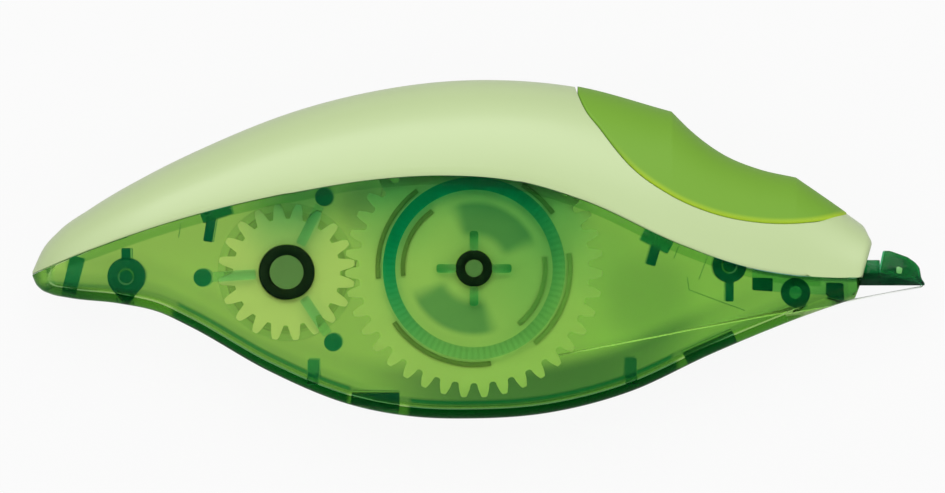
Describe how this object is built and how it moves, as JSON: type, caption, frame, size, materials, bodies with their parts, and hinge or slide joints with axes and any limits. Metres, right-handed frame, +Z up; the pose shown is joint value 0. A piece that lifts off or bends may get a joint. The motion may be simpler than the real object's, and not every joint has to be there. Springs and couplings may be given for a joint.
{
  "type": "correction tape dispenser",
  "caption": "Hand-held correction tape dispenser: see-through case with geared supply and take-up reels, pale cover, finger grip and a narrow applicator tip.",
  "frame": {"origin": "centre of the overall box, on the face of the left side that it lies on", "axes": "+X along the body to the tip, +Y towards the cover and the finger grip, +Z up through the thickness"},
  "size_m": [0.1069, 0.0405, 0.016],
  "materials": {
    "case_green": "clear green tinted, polished",
    "cover_green": "pale green, polished",
    "grip_lime": "soft lime rubber, satin",
    "head_green": "dark green, slightly clear",
    "axle_dark": "near-black, satin",
    "gear_lime": "milky lime, moulded",
    "spool_pale": "pale green, moulded",
    "clutch_grey": "dark grey rubber",
    "tape_white": "white coated film",
    "carrier_film": "clear carrier film",
    "roller_white": "white, moulded"
  },
  "bodies": {
    "case": {"right_shell": "case_green", "left_shell": "case_green", "top_cover": "cover_green", "finger_grip": "grip_lime", "applicator_head": "head_green", "supply_axle": "axle_dark", "take_up_axle": "axle_dark", "tape_feed_run": "tape_white", "tape_return_run": "carrier_film"},
    "supply_wheel": {"supply_gear": "gear_lime", "clutch_ring": "clutch_grey"},
    "supply_reel": {"supply_spool": "spool_pale", "supply_flange": "spool_pale", "supply_tape": "tape_white"},
    "take_up_reel": {"take_up_gear": "gear_lime", "take_up_spool": "spool_pale", "take_up_flange": "spool_pale", "take_up_tape": "carrier_film"},
    "guide": {"return_guide_roller": "roller_white"}
  },
  "joints": [
    {"name": "supply_spin", "type": "hinge", "parent": "case", "child": "supply_wheel", "pos_m": [-0.00057, -0.00229, 0.008], "axis": [0, 0, 1], "continuous": true},
    {"name": "clutch_slip", "type": "hinge", "parent": "supply_wheel", "child": "supply_reel", "pos_m": [-0.00057, -0.00229, 0.008], "axis": [0, 0, 1], "continuous": true},
    {"name": "take_up_spin", "type": "hinge", "parent": "case", "child": "take_up_reel", "pos_m": [-0.02297, -0.00274, 0.008], "axis": [0, 0, 1], "continuous": true},
    {"name": "guide_spin", "type": "hinge", "parent": "case", "child": "guide", "pos_m": [-0.007, 0.0132, 0.008], "axis": [0, 0, 1], "continuous": true}
  ],
  "couplings": [
    {"joint": "take_up_spin", "follows": "supply_spin", "ratio": -1.95},
    {"joint": "guide_spin", "follows": "supply_spin", "ratio": 6.2632}
  ]
}
